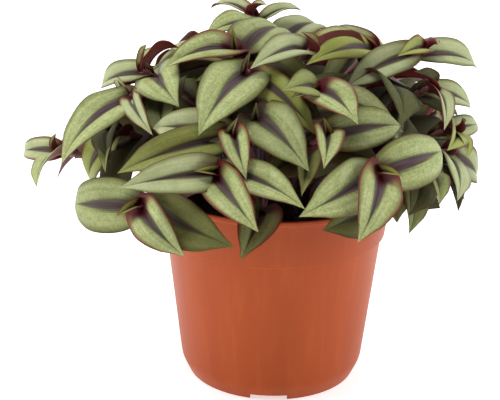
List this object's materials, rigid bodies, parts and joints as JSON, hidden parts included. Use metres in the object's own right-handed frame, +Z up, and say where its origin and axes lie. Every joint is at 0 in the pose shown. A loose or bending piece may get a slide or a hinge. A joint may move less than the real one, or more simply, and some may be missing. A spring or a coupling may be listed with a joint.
{
  "type": "potted tradescantia",
  "caption": "Trailing house plant with silver-striped leaves on arching stems, growing as a low dome in a round tapered nursery pot.",
  "frame": {"origin": "centre of the pot's underside, where it stands", "axes": "+Z up along the pot's axis; -Y towards the side that shows in the picture; +X to the right of it"},
  "size_m": [0.222, 0.2254, 0.1885],
  "materials": {
    "pot": "satin terracotta-coloured moulded plastic",
    "soil": "moist dark potting soil",
    "foliage": "smooth leaves, silver green with a purple-grey midrib band"
  },
  "bodies": {
    "root": {"leafy_stem_behind_right": "foliage", "leafy_stem_centre": "foliage", "leafy_stem_centre_top": "foliage", "leafy_stem_crown": "foliage", "leafy_stem_crown_front": "foliage", "leafy_stem_far_left": "foliage", "leafy_stem_fill_1": "foliage", "leafy_stem_fill_10": "foliage", "leafy_stem_fill_11": "foliage", "leafy_stem_fill_12": "foliage", "leafy_stem_fill_13": "foliage", "leafy_stem_fill_14": "foliage", "leafy_stem_fill_15": "foliage", "leafy_stem_fill_16": "foliage", "leafy_stem_fill_17": "foliage", "leafy_stem_fill_18": "foliage", "leafy_stem_fill_19": "foliage", "leafy_stem_fill_2": "foliage", "leafy_stem_fill_3": "foliage", "leafy_stem_fill_4": "foliage", "leafy_stem_fill_5": "foliage", "leafy_stem_fill_6": "foliage", "leafy_stem_fill_7": "foliage", "leafy_stem_fill_8": "foliage", "leafy_stem_fill_9": "foliage", "leafy_stem_front": "foliage", "leafy_stem_left": "foliage", "leafy_stem_left_inner": "foliage", "leafy_stem_low_left": "foliage", "leafy_stem_low_right": "foliage", "leafy_stem_low_right_under": "foliage", "leafy_stem_mid": "foliage", "leafy_stem_mid_gap": "foliage", "leafy_stem_mid_left": "foliage", "leafy_stem_mid_right": "foliage", "leafy_stem_right": "foliage", "leafy_stem_right_fringe": "foliage", "leafy_stem_right_low": "foliage", "leafy_stem_right_side": "foliage", "leafy_stem_rim_front": "foliage", "leafy_stem_top_right": "foliage", "leafy_stem_upper_left": "foliage", "leafy_stem_upper_right": "foliage", "pot": "pot", "soil": "soil"}
  },
  "joints": []
}
